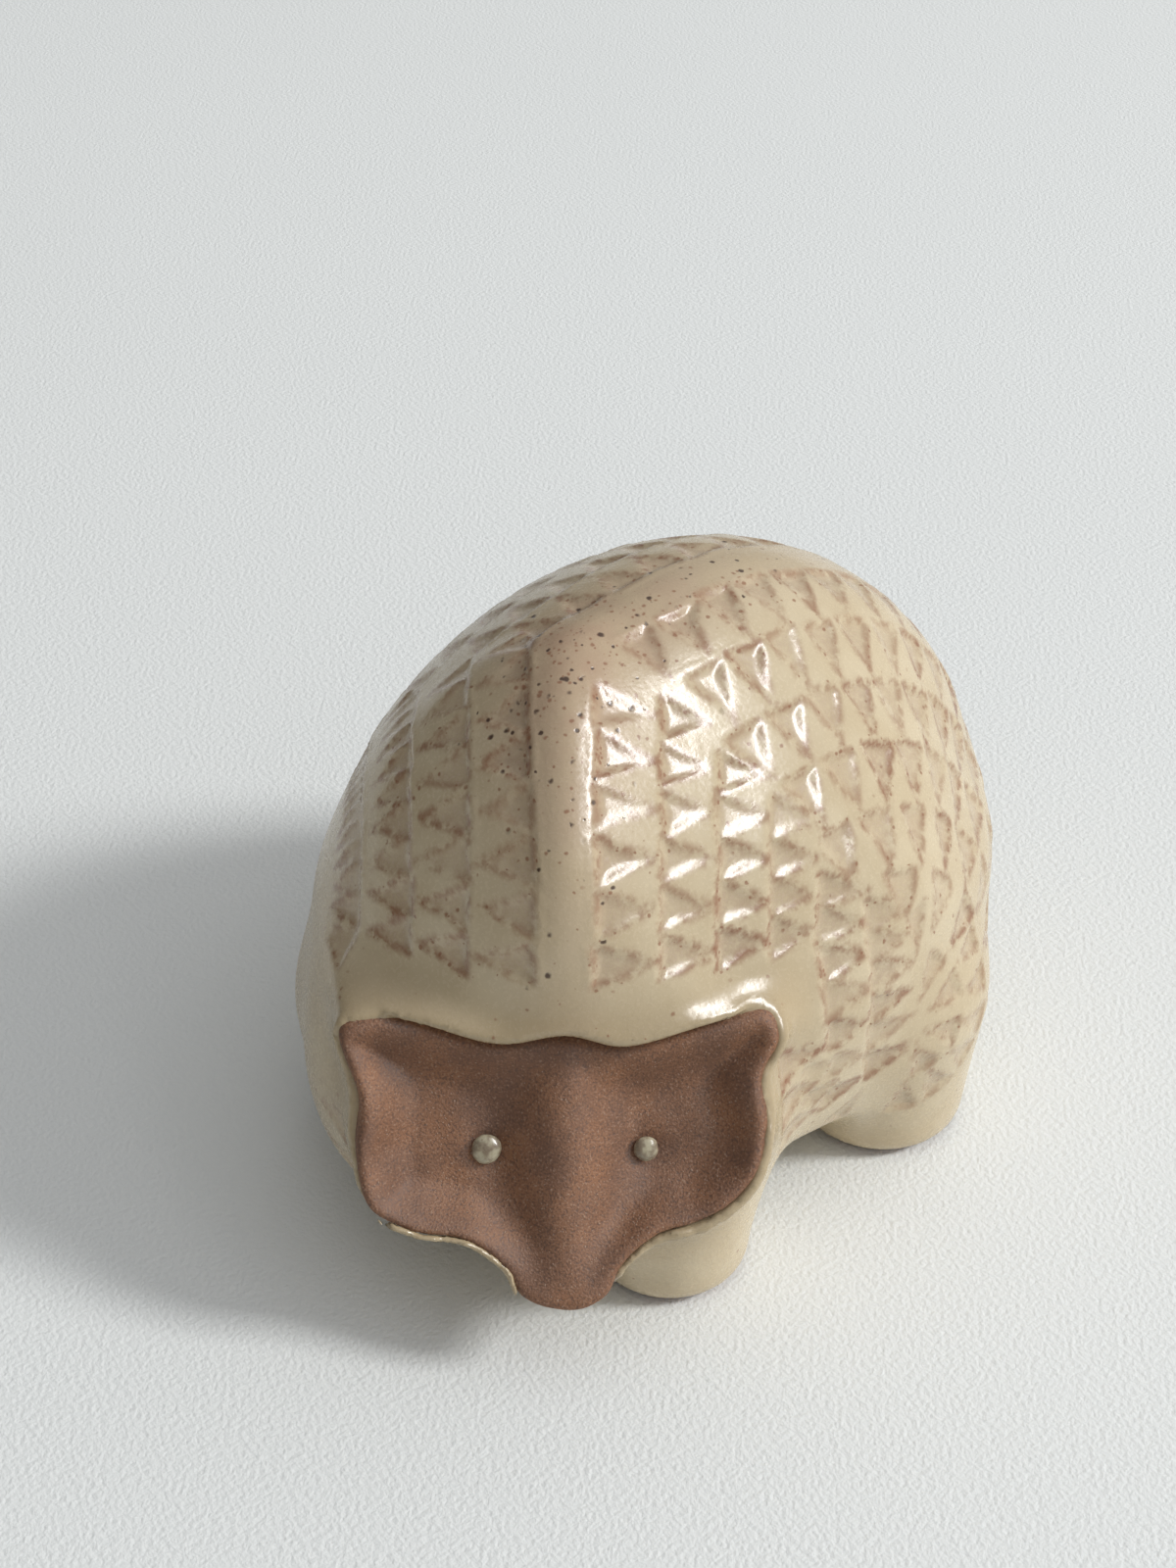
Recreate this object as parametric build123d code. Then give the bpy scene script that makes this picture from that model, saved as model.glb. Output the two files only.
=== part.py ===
from build123d import *

import os
from itertools import product
from math import asin, atan2, cos, degrees, pi, radians, sin, sqrt

# Hollow stoneware hedgehog figurine with its head turned to its own left.
# Millimetres, +Z up, front towards -Y, the animal's left towards +X.
# It is shaped with the origin on the table under the widest part of the trunk. The finished
# pieces are then moved so that the origin is on the table under the middle of their box.

# Trunk: the overlap of two eggs side by side, whose crossing is the crest of the back, cut flat below
EGG_RADIUS = 62.5
EGG_OFFSET = 9.0          # axis of each egg to the middle of the trunk
AXIS_HEIGHT = 40.0
BACK_SLOPE = 4.0          # degrees that the back falls towards the rump
CHEST_STRETCH = 9.5       # how much longer than a half ball the front half of each egg is
CHEST_TAPER = 2.5         # how much smaller the ball at its front end is
BELLY_HEIGHT = 12.5       # underside above the table

# Head: a round roll across a line turned left from the trunk
HEAD_TURN = 50.0          # degrees
HEAD_X = 28.6             # root of the head on the table
HEAD_Y = -49.3
ROLL_RADIUS = 30.0
ROLL_BACK = 16.5          # root of the head back to the axis of the roll
ROLL_LEFT = 6.0           # midline to the middle of the left end of the roll
ROLL_RIGHT = 14.0         # midline to the middle of the right end, on the outside of the turn
ROLL_HEIGHT = 30.0

# Crest of the forehead: the dull edge where two balls cross, from the back down to the brow
CREST_RADIUS = 47.5       # radius of the edge, and from the brow back to its middle
CREST_OFFSET = 16.0       # middle of each ball to the plane of the edge
CREST_HEIGHT = 52.0
CREST_TAIL = 46.0         # brow back to the end of the crest, where it meets the crest of the back

# Face
NOSE_REACH = 30.5         # root of the head to the tip of the nose
NOSE_HEIGHT = 14.0        # tip of the nose above the table
MASK_TILT = 34.0          # degrees that the face leans back
MASK_HEIGHT = 46.5        # nose tip to brow, along the slope
MASK_LEFT = 35.0          # midline to the left ear
MASK_RIGHT = 37.0         # midline to the right ear
MUZZLE_DEPTH = 20.0       # how far back the outline of the face is carried
HOLLOW_OFFSET = 17.5      # midline to the middle of each hollowed cheek
HOLLOW_RISE = 28.0        # nose tip to the middle of the hollows, up the slope
HOLLOW_RADIUS = 14.5
HOLLOW_DEPTH = 4.0
EYE_DIAMETER = 5.0
EYE_OFFSET = 13.0         # midline to each eye
EYE_RISE = 27.0           # nose tip to the eyes, up the slope
EYE_SUNK = 1.0            # middle of each bead below the floor of the hollow

# Walls, glaze and vent
WALL = 6.0
GLAZE = 1.2
GLAZE_STOP = 2.0          # bare clay left above the table
BARE_EDGE = 0.6           # the bare face stands this far out of the glaze
VENT_DIAMETER = 11.0

# Legs: place of each on the table and radius at the sole
LEG_TOP = 26.0            # table to the middle of the round top
LEG_FLARE = 3.5           # the round top is this much wider than the sole
LEG_LEAN = 3.0            # degrees that the legs lean in towards the spine
FRONT_RADIUS = 12.5
REAR_RADIUS = 14.0
LEGS = {
    "front_left_leg": ((42.0, -37.5), FRONT_RADIUS),
    "front_right_leg": ((-20.0, -50.0), FRONT_RADIUS),
    "rear_left_leg": ((39.5, 16.0), REAR_RADIUS),
    "rear_right_leg": ((-38.0, 18.0), REAR_RADIUS),
}

# Each half of the face's outline from the nose tip to the brow, as shares of its width and height:
# snout, cheek, notch under the ear, ear and brow line. The two sides differ a little, as hand work does.
LEFT_SHAPE = [
    (0.19, 0.05), (0.27, 0.16), (0.43, 0.265), (0.66, 0.32), (0.87, 0.455),
    (0.945, 0.66), (0.92, 0.83), (1.00, 0.97), (0.92, 1.07), (0.65, 1.03), (0.28, 0.96),
]
RIGHT_SHAPE = [
    (0.20, 0.05), (0.28, 0.155), (0.45, 0.245), (0.66, 0.27), (0.87, 0.36),
    (0.93, 0.56), (0.915, 0.75), (1.00, 0.96), (0.92, 1.035), (0.68, 1.04), (0.30, 0.967),
]

# Pressed triangles: rows that follow the crest down both flanks, each triangle pointing away from it
ROW_FIRST = 10.5          # crest to the middle of the first row, over the surface
ROW_PITCH = 12.0
ROW_ASIDE = [9.5, 20.0, 30.0, 38.5, 47.0, 54.5]   # middle of each row on the head, from its midline
STAMP_PITCH = 8.4         # along the row
STAMP_WIDTH = 7.4
STAMP_LENGTH = 9.6
STAMP_DEPTH = 0.9         # at the base
STAMP_LOW = 24.0          # the rows end at this height
STAMP_CLEAR = 7.0         # plain border behind and over the face

SPACE = 400.0             # larger than the object

UP = Vector(0, 0, 1)
TURN = radians(HEAD_TURN)
LEAN = radians(MASK_TILT)
FORWARD = Vector(sin(TURN), -cos(TURN), 0)
LEFTWARD = Vector(cos(TURN), sin(TURN), 0)
HEAD_ROOT = Vector(HEAD_X, HEAD_Y, 0)
NOSE = HEAD_ROOT + FORWARD * NOSE_REACH + UP * NOSE_HEIGHT
FACE = Plane(origin=NOSE, x_dir=LEFTWARD, z_dir=FORWARD * cos(LEAN) + UP * sin(LEAN))
BROW = FACE.from_local_coords(Vector(0, MASK_HEIGHT, 0))


def below(height):
    """Everything under a level."""
    return Pos(0, 0, height - SPACE / 2) * Box(SPACE, SPACE, SPACE)


def beyond(plane):
    """Everything on the outer side of a plane."""
    return extrude(plane * Rectangle(SPACE, SPACE), SPACE)


def egg(skin):
    """Egg of revolution along Y: a half ball behind, then a long arc and a smaller ball in front."""
    radius = EGG_RADIUS + skin
    ball = EGG_RADIUS - CHEST_TAPER
    shift = CHEST_STRETCH + CHEST_TAPER
    # The long arc runs smoothly into the rump behind and the small ball in front
    arc = (shift ** 2 + EGG_RADIUS ** 2 - ball ** 2) / (2 * CHEST_TAPER)
    drop = arc - EGG_RADIUS
    turn = atan2(drop, shift)

    def on_ball(angle):
        return (-shift - (ball + skin) * cos(angle), (ball + skin) * sin(angle))

    def on_arc(angle):
        return (-(arc + skin) * cos(angle), (arc + skin) * sin(angle) - drop)

    outline = [
        Line(on_ball(0), (radius, 0)),
        ThreePointArc((radius, 0), (radius * sqrt(0.5), radius * sqrt(0.5)), (0, radius)),
        ThreePointArc((0, radius), on_arc((pi / 2 + turn) / 2), on_ball(turn)),
        ThreePointArc(on_ball(turn), on_ball(turn / 2), on_ball(0)),
    ]
    return Rot(0, 0, 90) * revolve(make_face(outline), Axis.X)


def trunk(skin):
    """Overlap of two eggs, pointed along the back."""
    form = egg(skin)
    overlap = Pos(EGG_OFFSET, 0, 0) * form & Pos(-EGG_OFFSET, 0, 0) * form
    return Pos(0, 0, AXIS_HEIGHT) * Rot(-BACK_SLOPE, 0, 0) * overlap


def roll(skin):
    """Round roll of the head, with a ball at each end."""
    radius = ROLL_RADIUS + skin
    middle = HEAD_ROOT - FORWARD * ROLL_BACK + UP * ROLL_HEIGHT
    left = Plane(origin=middle + LEFTWARD * ROLL_LEFT, z_dir=LEFTWARD)
    right = Plane(origin=middle - LEFTWARD * ROLL_RIGHT, z_dir=LEFTWARD)
    bar = extrude(right * Circle(radius), ROLL_LEFT + ROLL_RIGHT)
    return bar + left * Sphere(radius) + right * Sphere(radius)


def crest(skin):
    """Lens between two balls whose edge is the crest of the forehead, ending at its tail."""
    middle = Vector(BROW.X, BROW.Y, CREST_HEIGHT) - FORWARD * CREST_RADIUS
    ball = Sphere(sqrt(CREST_RADIUS ** 2 + CREST_OFFSET ** 2) + skin)
    left = Plane(origin=middle + LEFTWARD * CREST_OFFSET, x_dir=UP, z_dir=LEFTWARD)
    right = Plane(origin=middle - LEFTWARD * CREST_OFFSET, x_dir=UP, z_dir=LEFTWARD)
    behind = Plane(origin=BROW - FORWARD * CREST_TAIL, z_dir=-FORWARD)
    return (left * ball & right * ball) - beyond(behind)


def face_outline(plane, grow):
    """Face within its outline: snout, cheeks, ears and brow, grown about its middle."""
    size = 1 + grow / MASK_LEFT
    middle = MASK_HEIGHT / 2
    left = [(x * MASK_LEFT, y * MASK_HEIGHT) for x, y in LEFT_SHAPE]
    right = [(-x * MASK_RIGHT, y * MASK_HEIGHT) for x, y in RIGHT_SHAPE]
    loop = [(0, 0)] + left + [(0, MASK_HEIGHT)] + right[::-1]
    spots = [plane.from_local_coords(Vector(x * size, middle + (y - middle) * size, 0)) for x, y in loop]
    return Face(Wire([Spline(spots, periodic=True)]))


def body(skin, edge):
    """Trunk, head, crest and muzzle in one, grown by skin and ending at the edge behind the face."""
    front = face_outline(FACE.offset(-edge), skin)
    mass = trunk(skin) + roll(skin) + crest(skin) - below(BELLY_HEIGHT - skin)
    mass = mass - Solid.extrude(front, FACE.z_dir * ROLL_RADIUS)
    return mass + Solid.extrude(front, FORWARD * -(MUZZLE_DEPTH + skin))


def leg(place, radius, skin):
    """Stub leg with a flat sole and a wider round top, leaning in towards the spine."""
    x, y = place
    top = radius + LEG_FLARE + skin
    foot = radius - LEG_FLARE + skin
    shank = Cone(foot, top, 2 * LEG_TOP) + Pos(0, 0, LEG_TOP) * Sphere(top)
    lean = -LEG_LEAN if x > 0 else LEG_LEAN
    return Pos(x, y, 0) * Rot(0, lean, 0) * shank - below(0)


def left_of_seam():
    """Everything left of the upright seam that follows the spine and the middle of the face."""
    line = [Vector(0, 2 * EGG_RADIUS, 0), Vector(0, 0, 0)]
    line += [HEAD_ROOT + FORWARD * run for run in (-2 * ROLL_BACK, 0, NOSE_REACH, 3 * NOSE_REACH)]
    rest = Polyline(line[-1], (SPACE / 2, line[-1].Y), (SPACE / 2, line[0].Y), line[0])
    return extrude(make_face([Spline(line), rest]), SPACE, dir=UP)


def stamp(spot, normal, flank):
    """Corner of a tool pressed in at a spot: a triangle whose floor runs out towards its tip."""
    tip = (flank - normal * flank.dot(normal)).normalized()
    seat = Plane(origin=spot - normal * STAMP_DEPTH / 2, x_dir=tip.cross(normal), z_dir=normal)
    base = (STAMP_WIDTH / 2, -STAMP_LENGTH / 2)
    floor = make_face(Polyline((-base[0], base[1]), base, (0, -base[1]), close=True))
    slope = degrees(atan2(STAMP_DEPTH, STAMP_LENGTH))
    return extrude(seat * Rot(slope, 0, 0) * floor, 3 * STAMP_DEPTH)


def row_fans(side, row):
    """Fans of rays that a row of one flank lies on, first over the trunk and then over the head.

    Each has its middle, the level ray it starts from, its radius and the way out to the flank.
    """
    angle = asin(EGG_OFFSET / EGG_RADIUS) + (ROW_FIRST + row * ROW_PITCH) / EGG_RADIUS
    out = Vector(side, 0, 0)
    middle = out * (EGG_RADIUS * sin(angle) - EGG_OFFSET) + UP * AXIS_HEIGHT
    aside = LEFTWARD * side
    hub = Vector(BROW.X, BROW.Y, CREST_HEIGHT) - FORWARD * CREST_RADIUS + aside * ROW_ASIDE[row]
    return (middle, Vector(0, 1, 0), EGG_RADIUS * cos(angle), out), (hub, -FORWARD, CREST_RADIUS, aside)


def pressed_rows(mass, clay_form):
    """Stamps of all rows on the outside of a mass, apart from any that would reach the clay under it."""
    stamps = []
    for side, row in product((1, -1), range(len(ROW_ASIDE))):
        fans = row_fans(side, row)
        for (middle, level, radius, flank), (bend, _, _, bend_flank) in (fans, fans[::-1]):
            for number in range(int(1.5 * pi * radius / STAMP_PITCH)):
                angle = (number + 0.5) * STAMP_PITCH / radius - pi / 4
                ray = Axis(middle, level * cos(angle) + UP * sin(angle))
                hits = mass.find_intersection_points(ray)
                if not hits or (hits[-1][0] - middle).dot(ray.direction) < 0:
                    continue
                spot, normal = hits[-1]
                # The two fans of a row meet inside the bend of the crest on the left, outside on the right
                past_bend = side * (spot - bend).dot(bend_flank) > 0
                by_face = FACE.to_local_coords(spot).Z > -STAMP_CLEAR and spot.Z < BROW.Z + STAMP_CLEAR
                if past_bend and spot.Z > STAMP_LOW and not by_face:
                    stamps.append(stamp(spot, normal, flank))
    return [tool for tool in stamps if not any(clay_form.is_inside(v.center()) for v in tool.vertices())]


# Clay form: a wall of even thickness, hollowed cheeks, a pit for each eye and a vent on the seam
outer = body(0, 0)
room = trunk(-WALL) + roll(-WALL) - below(BELLY_HEIGHT + WALL)
room = room - beyond(FACE.offset(-WALL - HOLLOW_DEPTH))
vent = Cylinder(VENT_DIAMETER / 2, 2 * AXIS_HEIGHT)
dish = (HOLLOW_RADIUS ** 2 + HOLLOW_DEPTH ** 2) / (2 * HOLLOW_DEPTH)
aside = sqrt((HOLLOW_OFFSET - EYE_OFFSET) ** 2 + (HOLLOW_RISE - EYE_RISE) ** 2)
eye_floor = dish - HOLLOW_DEPTH - sqrt(dish ** 2 - aside ** 2)
hollows = []
eyes = {}
for name, side in (("left_eye", 1), ("right_eye", -1)):
    cheek = Vector(side * HOLLOW_OFFSET, HOLLOW_RISE, dish - HOLLOW_DEPTH)
    hollows.append(Pos(FACE.from_local_coords(cheek)) * Sphere(dish))
    bead = Vector(side * EYE_OFFSET, EYE_RISE, eye_floor - EYE_SUNK)
    eyes[name] = Pos(FACE.from_local_coords(bead)) * Sphere(EYE_DIAMETER / 2)
clay = outer - room - vent - hollows - list(eyes.values())

# The two pressed halves meet along the seam, and the legs are luted on under them
left_side = left_of_seam()
pieces = {"left_half_shell": clay & left_side, "right_half_shell": clay - left_side}
stubs = {name: leg(place, radius, 0) for name, (place, radius) in LEGS.items()}
for name, stub in stubs.items():
    pieces[name] = stub - outer
pieces.update(eyes)

# One coat of glaze over body and legs, open at the face, the vent and the soles, with the rows pressed in
under = outer + list(stubs.values())
coat = body(GLAZE, BARE_EDGE)
stamps = pressed_rows(coat, under.solid())
for place, radius in LEGS.values():
    coat = coat + leg(place, radius, GLAZE)
pieces["glaze_coat"] = coat - under - vent - below(GLAZE_STOP) - stamps

# Origin on the table under the middle of the whole
box = Compound(children=[Pos(0, 0, 0) * piece for piece in pieces.values()]).bounding_box()
os.makedirs("parts", exist_ok=True)
for name, piece in pieces.items():
    export_step(Pos(-box.center().X, -box.center().Y, 0) * piece, f"parts/{name}.step")
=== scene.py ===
"""Hedgehog figurine in speckled stoneware: clay form, stamped glaze, bare face, eyes and studio."""

import logging
import math
from dataclasses import dataclass, field, replace
from enum import Enum
from functools import partial
from typing import Any, Callable

import bpy
import numpy as np
import openvdb
from mathutils import Matrix, Vector


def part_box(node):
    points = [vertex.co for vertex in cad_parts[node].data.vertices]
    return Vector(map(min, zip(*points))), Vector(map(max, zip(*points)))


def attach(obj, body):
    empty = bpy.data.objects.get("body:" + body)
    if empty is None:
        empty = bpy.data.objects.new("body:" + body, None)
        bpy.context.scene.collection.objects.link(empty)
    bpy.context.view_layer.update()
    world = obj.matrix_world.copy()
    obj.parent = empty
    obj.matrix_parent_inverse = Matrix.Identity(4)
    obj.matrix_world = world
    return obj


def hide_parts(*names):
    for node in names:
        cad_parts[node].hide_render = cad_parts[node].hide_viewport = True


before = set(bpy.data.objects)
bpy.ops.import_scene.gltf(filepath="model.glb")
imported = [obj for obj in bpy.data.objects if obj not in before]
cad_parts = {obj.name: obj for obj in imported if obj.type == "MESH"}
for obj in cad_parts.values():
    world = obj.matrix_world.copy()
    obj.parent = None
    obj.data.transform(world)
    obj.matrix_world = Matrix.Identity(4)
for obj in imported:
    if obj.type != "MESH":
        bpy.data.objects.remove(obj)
LOG = logging.getLogger("hedgehog")
MM = 0.001
UP = np.array((0.0, 0.0, 1.0))
Field = Callable[[np.ndarray], np.ndarray]
Spots = tuple[np.ndarray, np.ndarray, np.ndarray]


class Slot(Enum):
    """Material slots of the record."""

    CLAY = "bare_clay"
    GLAZE = "cream_glaze"
    EYE = "eye_glaze"


class Mark(Enum):
    """Names of the values that the surface carries from point to point."""

    ACROSS = "stamp_across"
    ALONG = "stamp_along"
    FADE = "stamp_fade"
    FLOOR = "stamp_floor"
    IRON = "stamp_iron"
    CREST = "crest"
    BROW = "brow"


def smooth_min(a: np.ndarray, b: np.ndarray, soft: float) -> np.ndarray:
    """Lower of two values, rounded over where they cross."""
    share = np.clip(0.5 + 0.5 * (b - a) / soft, 0.0, 1.0)
    return b + (a - b) * share - soft * share * (1.0 - share)


def smooth_max(a: np.ndarray, b: np.ndarray, soft: float) -> np.ndarray:
    """Higher of two values, rounded over where they cross."""
    return -smooth_min(-a, -b, soft)


def ease(value: np.ndarray, low: float, high: float) -> np.ndarray:
    """Soft step from 0 at low to 1 at high."""
    share = np.clip((value - low) / (high - low), 0.0, 1.0)
    return share * share * (3.0 - 2.0 * share)


def waves(points: np.ndarray, length: float, seed: int) -> np.ndarray:
    """Gentle unevenness of about +-1, as hand-pressed clay has.

    Args:
        points: Places in millimetres, one row each.
        length: Length of the longest wave in millimetres.
        seed: Fixed seed of the directions.

    Returns:
        One value for each place.
    """
    rng = np.random.default_rng(seed)
    total = np.zeros(len(points))
    for _ in range(7):
        way = rng.normal(size=3)
        way *= 2.0 * math.pi / (length * rng.uniform(0.55, 1.0) * np.linalg.norm(way))
        total += np.sin(points @ way + rng.uniform(0.0, 6.3))
    return total / 3.0


@dataclass
class Trunk:
    """Body of the animal: two crossing eggs, cut level below. Millimetres."""

    radius: float = 62.5
    offset: float = 9.0
    height: float = 40.0
    slope: float = 4.0
    stretch: float = 9.5
    taper: float = 2.5
    belly: float = 12.5
    ridge_soft: float = 5.0

    def egg(self, along: np.ndarray, out: np.ndarray) -> np.ndarray:
        """Distance to one egg.

        Args:
            along: Place along the axis of the egg, above zero towards the rump.
            out: Distance from the axis.

        Returns:
            Distance at each place, below zero inside.
        """
        ball = self.radius - self.taper
        shift = self.stretch + self.taper
        arc = (shift**2 + self.radius**2 - ball**2) / (2.0 * self.taper)
        drop = arc - self.radius
        ahead = np.maximum(-along, 0.0)
        rump = np.hypot(along, out) - self.radius
        side = np.hypot(ahead, out + drop) - arc
        cap = np.hypot(ahead - shift, out) - ball
        front = np.where(np.arctan2(out + drop, ahead) > math.atan2(drop, shift), side, cap)
        return np.where(along > 0.0, rump, front)

    def distance(self, p: np.ndarray) -> np.ndarray:
        """Distance to the trunk, with a softened crest.

        Args:
            p: Places, one row each.

        Returns:
            Distance at each place, below zero inside.
        """
        lean = math.radians(self.slope)
        y = p[:, 1]
        z = p[:, 2] - self.height
        along = y * math.cos(lean) - z * math.sin(lean)
        up = y * math.sin(lean) + z * math.cos(lean)
        left = self.egg(along, np.hypot(p[:, 0] - self.offset, up))
        right = self.egg(along, np.hypot(p[:, 0] + self.offset, up))
        return smooth_max(left, right, self.ridge_soft)


@dataclass
class Face:
    """Bare face: its plane, outline and modelling. Millimetres."""

    turn: float = 50.0
    root: tuple[float, float] = (28.6, -49.3)
    reach: float = 30.5
    nose_height: float = 14.0
    tilt: float = 34.0
    height: float = 46.5
    left: float = 35.0
    right: float = 37.0
    depth: float = 20.0
    dish: float = 5.4
    dish_run: float = 11.5
    dish_start: float = -0.5
    dish_edge: float = 1.15
    dish_soft: float = 5.0
    ridge_round: float = 2.2
    ridge_half: float = 1.2
    snout: tuple = (3.0, 16.0)
    snout_fill: float = 0.75
    stand: float = 0.25
    rim_soft: float = 3.5
    back_soft: float = 6.0
    left_shape: tuple = (
        (0.19, 0.05), (0.27, 0.16), (0.43, 0.265), (0.66, 0.32), (0.87, 0.455),
        (0.945, 0.66), (0.92, 0.83), (1.00, 0.97), (0.92, 1.07), (0.65, 1.03), (0.28, 0.96),
    )
    right_shape: tuple = (
        (0.20, 0.05), (0.28, 0.155), (0.45, 0.245), (0.66, 0.27), (0.87, 0.36),
        (0.93, 0.56), (0.915, 0.75), (1.00, 0.96), (0.92, 1.035), (0.68, 1.04), (0.30, 0.967),
    )
    ahead: np.ndarray = field(init=False)
    aside: np.ndarray = field(init=False)
    out: np.ndarray = field(init=False)
    up: np.ndarray = field(init=False)
    nose: np.ndarray = field(init=False)
    grid: np.ndarray = field(init=False)
    low: tuple = (-48.0, -12.0)
    high: tuple = (48.0, 66.0)
    step: float = 0.5

    def __post_init__(self) -> None:
        """Works out the directions of the face and a table of distances to its outline."""
        turn, tilt = math.radians(self.turn), math.radians(self.tilt)
        self.ahead = np.array((math.sin(turn), -math.cos(turn), 0.0))
        self.aside = np.array((math.cos(turn), math.sin(turn), 0.0))
        self.out = self.ahead * math.cos(tilt) + UP * math.sin(tilt)
        self.up = UP * math.cos(tilt) - self.ahead * math.sin(tilt)
        self.nose = np.array((*self.root, self.nose_height)) + self.ahead * self.reach
        across = np.arange(self.low[0], self.high[0], self.step)
        rise = np.arange(self.low[1], self.high[1], self.step)
        spots = np.stack(np.meshgrid(across, rise, indexing="ij"), -1).reshape(-1, 2)
        self.grid = self.outline_distance(spots).reshape(len(across), len(rise))

    def outline(self) -> np.ndarray:
        """Closed smooth outline of the face.

        Returns:
            Points across and up the plane of the face, one row each.
        """
        left = [(x * self.left, y * self.height) for x, y in self.left_shape]
        right = [(-x * self.right, y * self.height) for x, y in self.right_shape]
        key = np.array([(0.0, 0.0), *left, (0.0, self.height), *right[::-1]])
        share = np.linspace(0.0, 1.0, 8, endpoint=False)[:, None]
        runs = []
        for i in range(len(key)):
            a, b, c, d = (key[(i + j) % len(key)] for j in (-1, 0, 1, 2))
            bend = 2 * b + (c - a) * share + (2 * a - 5 * b + 4 * c - d) * share**2
            runs.append(0.5 * (bend + (3 * b - a - 3 * c + d) * share**3))
        return np.concatenate(runs)

    def outline_distance(self, spots: np.ndarray) -> np.ndarray:
        """Distance of places on the plane to the outline.

        Args:
            spots: Places across and up the plane, one row each.

        Returns:
            Distance at each place, below zero inside.
        """
        loop = self.outline()
        best = np.full(len(spots), 1e9)
        inside = np.zeros(len(spots), bool)
        for a, b in zip(loop, np.roll(loop, -1, 0)):
            edge = b - a
            away = spots - a
            share = np.clip(away @ edge / (edge @ edge), 0.0, 1.0)
            best = np.minimum(best, np.linalg.norm(away - share[:, None] * edge, axis=1))
            spans = (a[1] > spots[:, 1]) != (b[1] > spots[:, 1])
            rise = edge[1] if edge[1] else 1e-9
            inside ^= spans & (spots[:, 0] < a[0] + edge[0] * (spots[:, 1] - a[1]) / rise)
        return np.where(inside, -best, best)

    def local(self, p: np.ndarray) -> tuple[np.ndarray, np.ndarray, np.ndarray]:
        """Places across, up and out from the plane of the face."""
        away = p - self.nose
        return away @ self.aside, away @ self.up, away @ self.out

    def edge(self, across: np.ndarray, rise: np.ndarray) -> np.ndarray:
        """Distance to the outline, read from the table.

        Args:
            across: Places across the plane of the face.
            rise: Places up the plane.

        Returns:
            Distance at each place, below zero inside.
        """
        i = np.clip((across - self.low[0]) / self.step, 0, self.grid.shape[0] - 1.001)
        j = np.clip((rise - self.low[1]) / self.step, 0, self.grid.shape[1] - 1.001)
        m, n = i.astype(int), j.astype(int)
        u, v = i - m, j - n
        low = self.grid[m, n] * (1 - v) + self.grid[m, n + 1] * v
        high = self.grid[m + 1, n] * (1 - v) + self.grid[m + 1, n + 1] * v
        return low * (1 - u) + high * u

    def sleeve(self, p: np.ndarray) -> tuple[np.ndarray, np.ndarray, np.ndarray]:
        """Distance to the outline of the face, carried level to the back.

        Args:
            p: Places, one row each.

        Returns:
            Distance at each place, and its place across and out from the plane of the face.
        """
        across, rise, out = self.local(p)
        slide = out / float(self.ahead @ self.out)
        return self.edge(across, rise - slide * float(self.ahead @ self.up)), across, out

    def relief(self, across: np.ndarray, rise: np.ndarray) -> np.ndarray:
        """Height of the modelled face over its plane: two dished cheeks either side of a ridge.

        Args:
            across: Places across the plane of the face.
            rise: Places up the plane.

        Returns:
            Height out from the plane at each place.
        """
        inner = np.maximum(-self.edge(across, rise), 0.0)
        ridge = np.sqrt(across**2 + self.ridge_round**2) - self.ridge_half
        cell = smooth_min(inner * self.dish_edge, ridge, self.dish_soft)
        bowl = self.dish * ease(cell, self.dish_start, self.dish_run)
        snout = 1.0 - ease(rise, *self.snout)
        return self.stand - bowl * (1.0 - self.snout_fill * snout)

    def muzzle(self, p: np.ndarray) -> np.ndarray:
        """Distance to the block behind the face."""
        side, _, out = self.sleeve(p)
        return smooth_max(smooth_max(side, out, self.rim_soft), -out - self.depth, self.back_soft)


@dataclass
class Head:
    """Round roll behind the face and the crest of the forehead. Millimetres."""

    radius: float = 30.0
    back: float = 16.5
    left: float = 6.0
    right: float = 14.0
    height: float = 30.0
    crest_radius: float = 47.5
    crest_offset: float = 16.0
    crest_height: float = 52.0
    crest_tail: float = 46.0
    crest_soft: float = 4.0
    tail_soft: float = 10.0

    def roll(self, p: np.ndarray, face: Face) -> np.ndarray:
        """Distance to the roll, a thick bar with round ends.

        Args:
            p: Places, one row each.
            face: The face that gives the head its directions.

        Returns:
            Distance at each place, below zero inside.
        """
        middle = np.array((*face.root, self.height)) - face.ahead * self.back
        away = p - middle
        along = np.clip(away @ face.aside, -self.right, self.left)
        return np.linalg.norm(away - along[:, None] * face.aside, axis=1) - self.radius

    def crest(self, p: np.ndarray, face: Face) -> np.ndarray:
        """Distance to the lens whose edge is the crest of the forehead.

        Args:
            p: Places, one row each.
            face: The face that gives the head its directions.

        Returns:
            Distance at each place, below zero inside.
        """
        brow = face.nose + face.up * face.height
        middle = np.array((brow[0], brow[1], self.crest_height)) - face.ahead * self.crest_radius
        ball = math.hypot(self.crest_radius, self.crest_offset)
        left = np.linalg.norm(p - middle - face.aside * self.crest_offset, axis=1) - ball
        right = np.linalg.norm(p - middle + face.aside * self.crest_offset, axis=1) - ball
        tail = (brow - p) @ face.ahead - self.crest_tail
        return smooth_max(smooth_max(left, right, self.crest_soft), tail, self.tail_soft)


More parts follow.
